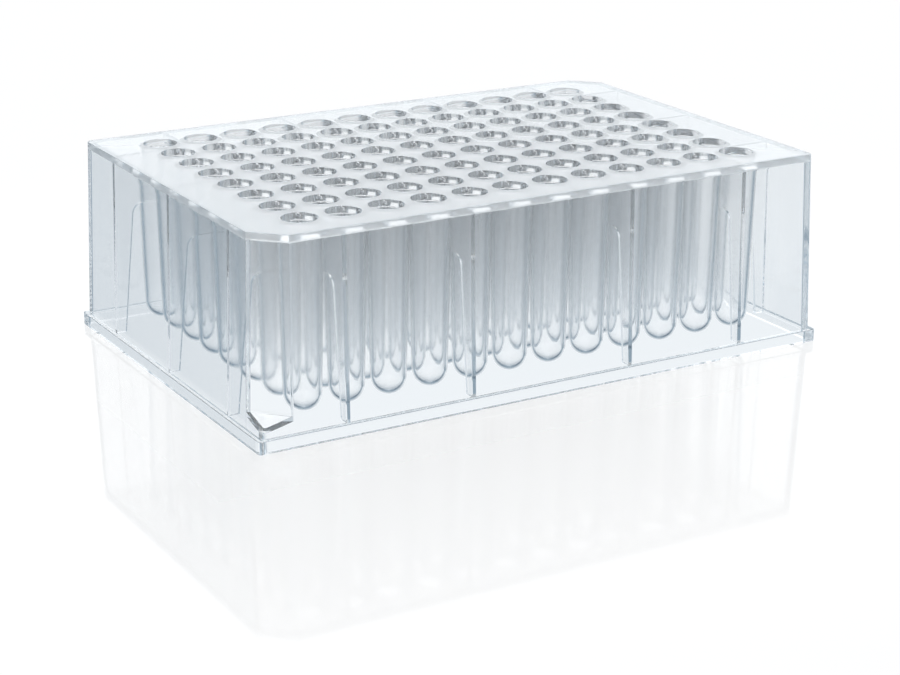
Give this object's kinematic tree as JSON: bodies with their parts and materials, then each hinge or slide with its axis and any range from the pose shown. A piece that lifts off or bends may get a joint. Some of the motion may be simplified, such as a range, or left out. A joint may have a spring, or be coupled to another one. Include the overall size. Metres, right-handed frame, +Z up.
{
  "type": "well plate",
  "caption": "Clear deep-well microplate in the standard footprint: tapered round-bottomed wells hang from a flat deck inside a ribbed skirt with a stepped base and two cut corners.",
  "frame": {"origin": "centre of the base, on the plane that the plate stands on", "axes": "+X along the rows from column 1 to column 12, +Y across the rows from row H to row A, +Z up out of the wells"},
  "size_m": [0.1278, 0.0854, 0.0397],
  "materials": {
    "clear_plastic": "clear, faintly blue-grey moulded plastic with polished faces"
  },
  "bodies": {
    "root": {"well_plate": "clear_plastic"}
  },
  "joints": []
}
